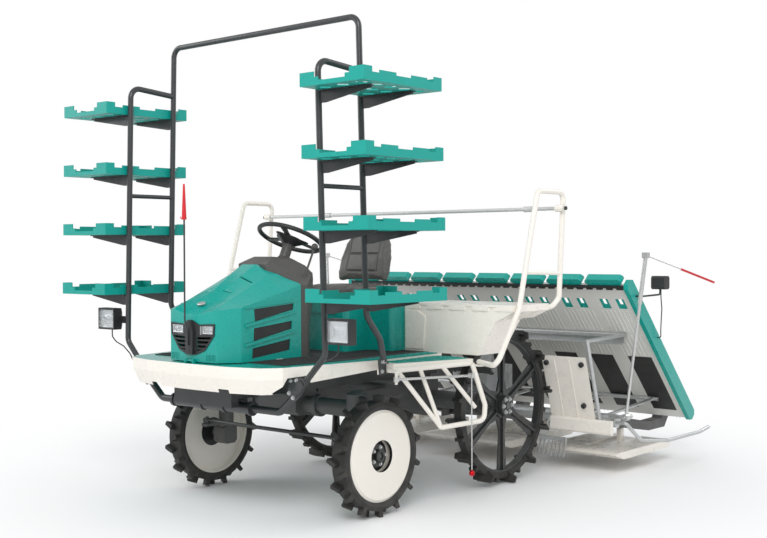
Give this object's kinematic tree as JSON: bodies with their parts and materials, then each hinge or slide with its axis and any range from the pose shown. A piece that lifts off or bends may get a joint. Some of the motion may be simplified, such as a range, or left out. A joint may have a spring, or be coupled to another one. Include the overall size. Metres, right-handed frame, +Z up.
{
  "type": "rice transplanter",
  "caption": "Riding rice transplanter with green deck and hood, seedling racks on both sides, a driver's seat and a lifting planting unit with a slanted seedling stage behind.",
  "frame": {"origin": "on the floor, below the middle of the whole machine", "axes": "+Z up, the front faces -Y, +X is the machine's left side"},
  "size_m": [2.809, 3.7323, 2.6485],
  "materials": {
    "dark_frame": "satin black paint",
    "cast_grey": "grey painted casting",
    "green_panel": "glossy teal green moulding",
    "white_panel": "glossy cream white moulding",
    "floor_mat": "ribbed black mat",
    "cream_tube": "glossy cream white paint",
    "black_plastic": "fine grained black",
    "lamp_clear": "clear",
    "dark_tube": "satin dark grey paint",
    "grey_plastic": "fine grained warm grey",
    "seat_vinyl": "grained grey seat cover",
    "light_tube": "light grey tube",
    "rod_chrome": "polished",
    "zinc": "galvanised steel",
    "steel": "worn bare steel",
    "stage_sheet": "light grey moulded sheet",
    "green_plastic": "teal green moulding",
    "tyre": "black rubber",
    "white_wheel": "cream white paint",
    "black_wheel": "black paint"
  },
  "bodies": {
    "machine": {"chassis_frame": "dark_frame", "engine_block": "cast_grey", "gearbox": "cast_grey", "front_axle": "cast_grey", "rear_axle": "cast_grey", "deck": "green_panel", "front_skirt": "white_panel", "floor_mats": "floor_mat", "step_frames": "cream_tube", "step_grips": "green_panel", "dash": "grey_plastic", "seat_base": "green_panel", "seat_cushion": "seat_vinyl", "seat_back": "seat_vinyl", "rear_deck": "white_panel", "guard_rails": "cream_tube", "crossbar": "light_tube", "rack_posts": "dark_tube", "top_bow": "dark_tube", "rack_carrier": "dark_tube", "work_lamps": "black_plastic", "lamp_lenses": "lamp_clear", "lamp_cables": "black_plastic", "shelves": "green_plastic", "shelf_brackets": "black_plastic"},
    "hood": {"hood_shell": "green_panel", "grille": "black_plastic", "marker_pole": "dark_tube", "headlamps": "lamp_clear"},
    "knuckle_left": {"knuckle_left": "cast_grey"},
    "front_wheel_left": {"front_tyre_left": "tyre", "front_disc_left": "white_wheel"},
    "rear_wheel_left": {"rear_tyre_left": "tyre", "rear_spider_left": "black_wheel"},
    "side_marker_left": {"side_marker_left": "steel"},
    "line_marker_left": {"line_marker_left": "steel"},
    "knuckle_right": {"knuckle_right": "cast_grey"},
    "front_wheel_right": {"front_tyre_right": "tyre", "front_disc_right": "white_wheel"},
    "rear_wheel_right": {"rear_tyre_right": "tyre", "rear_spider_right": "black_wheel"},
    "side_marker_right": {"side_marker_right": "steel"},
    "line_marker_right": {"line_marker_right": "steel"},
    "tie_rod": {"tie_rod": "dark_frame"},
    "steering_wheel": {"steering_wheel": "black_plastic"},
    "lower_link": {"lower_links": "dark_frame"},
    "upper_link": {"upper_links": "dark_frame"},
    "cylinder_barrel": {"lift_barrel": "dark_frame"},
    "cylinder_rod": {"lift_rod": "rod_chrome"},
    "planting_unit": {"planting_frame": "zinc", "planting_cases": "cast_grey", "floats": "white_panel", "mud_shields": "white_panel", "side_bumpers": "zinc"},
    "stage": {"seedling_stage": "stage_sheet", "stage_rails": "green_panel", "stage_belts": "black_plastic", "rear_lamps": "black_plastic", "rear_lamp_cables": "black_plastic"},
    "rotors": {"planting_rotors": "steel"}
  },
  "joints": [
    {"name": "steer_left", "type": "hinge", "parent": "machine", "child": "knuckle_left", "pos_m": [0.53, -1.09838, 0.325], "axis": [0, 0, 1], "range_deg": [-38, 38]},
    {"name": "front_axle_left", "type": "hinge", "parent": "knuckle_left", "child": "front_wheel_left", "pos_m": [0.66, -1.09838, 0.325], "axis": [1, 0, 0], "continuous": true},
    {"name": "rear_axle_left", "type": "hinge", "parent": "machine", "child": "rear_wheel_left", "pos_m": [0.687, 0.03963, 0.48], "axis": [1, 0, 0], "continuous": true},
    {"name": "side_marker_swing_left", "type": "hinge", "parent": "machine", "child": "side_marker_left", "pos_m": [0.83, -1.12338, 0.746], "axis": [0, 0, 1], "range_deg": [-75, 0]},
    {"name": "line_marker_swing_left", "type": "hinge", "parent": "planting_unit", "child": "line_marker_left", "pos_m": [1.24, 0.57817, 0.394], "axis": [0, 1, 0], "range_deg": [0, 80]},
    {"name": "steer_right", "type": "hinge", "parent": "machine", "child": "knuckle_right", "pos_m": [-0.53, -1.09838, 0.325], "axis": [0, 0, 1], "range_deg": [-38, 38]},
    {"name": "front_axle_right", "type": "hinge", "parent": "knuckle_right", "child": "front_wheel_right", "pos_m": [-0.66, -1.09838, 0.325], "axis": [1, 0, 0], "continuous": true},
    {"name": "rear_axle_right", "type": "hinge", "parent": "machine", "child": "rear_wheel_right", "pos_m": [-0.687, 0.03963, 0.48], "axis": [1, 0, 0], "continuous": true},
    {"name": "side_marker_swing_right", "type": "hinge", "parent": "machine", "child": "side_marker_right", "pos_m": [-0.83, -1.12338, 0.746], "axis": [0, 0, 1], "range_deg": [0, 75]},
    {"name": "line_marker_swing_right", "type": "hinge", "parent": "planting_unit", "child": "line_marker_right", "pos_m": [-1.24, 0.57817, 0.394], "axis": [0, -1, 0], "range_deg": [0, 80]},
    {"name": "tie_rod_pivot", "type": "hinge", "parent": "knuckle_left", "child": "tie_rod", "pos_m": [0.53, -1.24838, 0.421], "axis": [0, 0, 1], "range_deg": [-38, 38]},
    {"name": "steering_wheel_turn", "type": "hinge", "parent": "machine", "child": "steering_wheel", "pos_m": [0, -1.07337, 1.497], "axis": [0, 0.4226, 0.9063], "range_deg": [-310, 310]},
    {"name": "hood_hinge", "type": "hinge", "parent": "machine", "child": "hood", "pos_m": [0, -1.82238, 0.85], "axis": [1, 0, 0], "range_deg": [0, 55]},
    {"name": "lift", "type": "hinge", "parent": "machine", "child": "lower_link", "pos_m": [0, 0.14163, 0.4], "axis": [1, 0, 0], "range_deg": [-8, 32]},
    {"name": "upper_link_pivot", "type": "hinge", "parent": "machine", "child": "upper_link", "pos_m": [0, 0.14163, 0.68], "axis": [1, 0, 0], "range_deg": [-8.5, 32.5]},
    {"name": "planting_unit_pivot", "type": "hinge", "parent": "lower_link", "child": "planting_unit", "pos_m": [0, 0.69617, 0.32206], "axis": [1, 0, 0], "range_deg": [-32.5, 8.5]},
    {"name": "cylinder_tilt", "type": "hinge", "parent": "machine", "child": "cylinder_barrel", "pos_m": [0, 0.11663, 0.56], "axis": [1, 0, 0], "range_deg": [-5.26, 19.54]},
    {"name": "cylinder_stroke", "type": "slide", "parent": "cylinder_barrel", "child": "cylinder_rod", "axis": [0, 0.7649, -0.6441], "range_m": [-0.0681, 0.0178]},
    {"name": "stage_travel", "type": "slide", "parent": "planting_unit", "child": "stage", "axis": [1, 0, 0], "range_m": [-0.14, 0.14]},
    {"name": "rotor_shaft", "type": "hinge", "parent": "planting_unit", "child": "rotors", "pos_m": [0, 1.75317, 0.285], "axis": [1, 0, 0], "continuous": true}
  ],
  "couplings": [
    {"joint": "steer_right", "follows": "steer_left", "ratio": 1},
    {"joint": "tie_rod_pivot", "follows": "steer_left", "ratio": -1},
    {"joint": "steering_wheel_turn", "follows": "steer_left", "ratio": 8},
    {"joint": "upper_link_pivot", "follows": "lift", "ratio": 1},
    {"joint": "planting_unit_pivot", "follows": "lift", "ratio": -1},
    {"joint": "cylinder_tilt", "follows": "lift", "ratio": 0.595},
    {"joint": "cylinder_stroke", "follows": "lift", "m_per_rad": -0.1202}
  ]
}
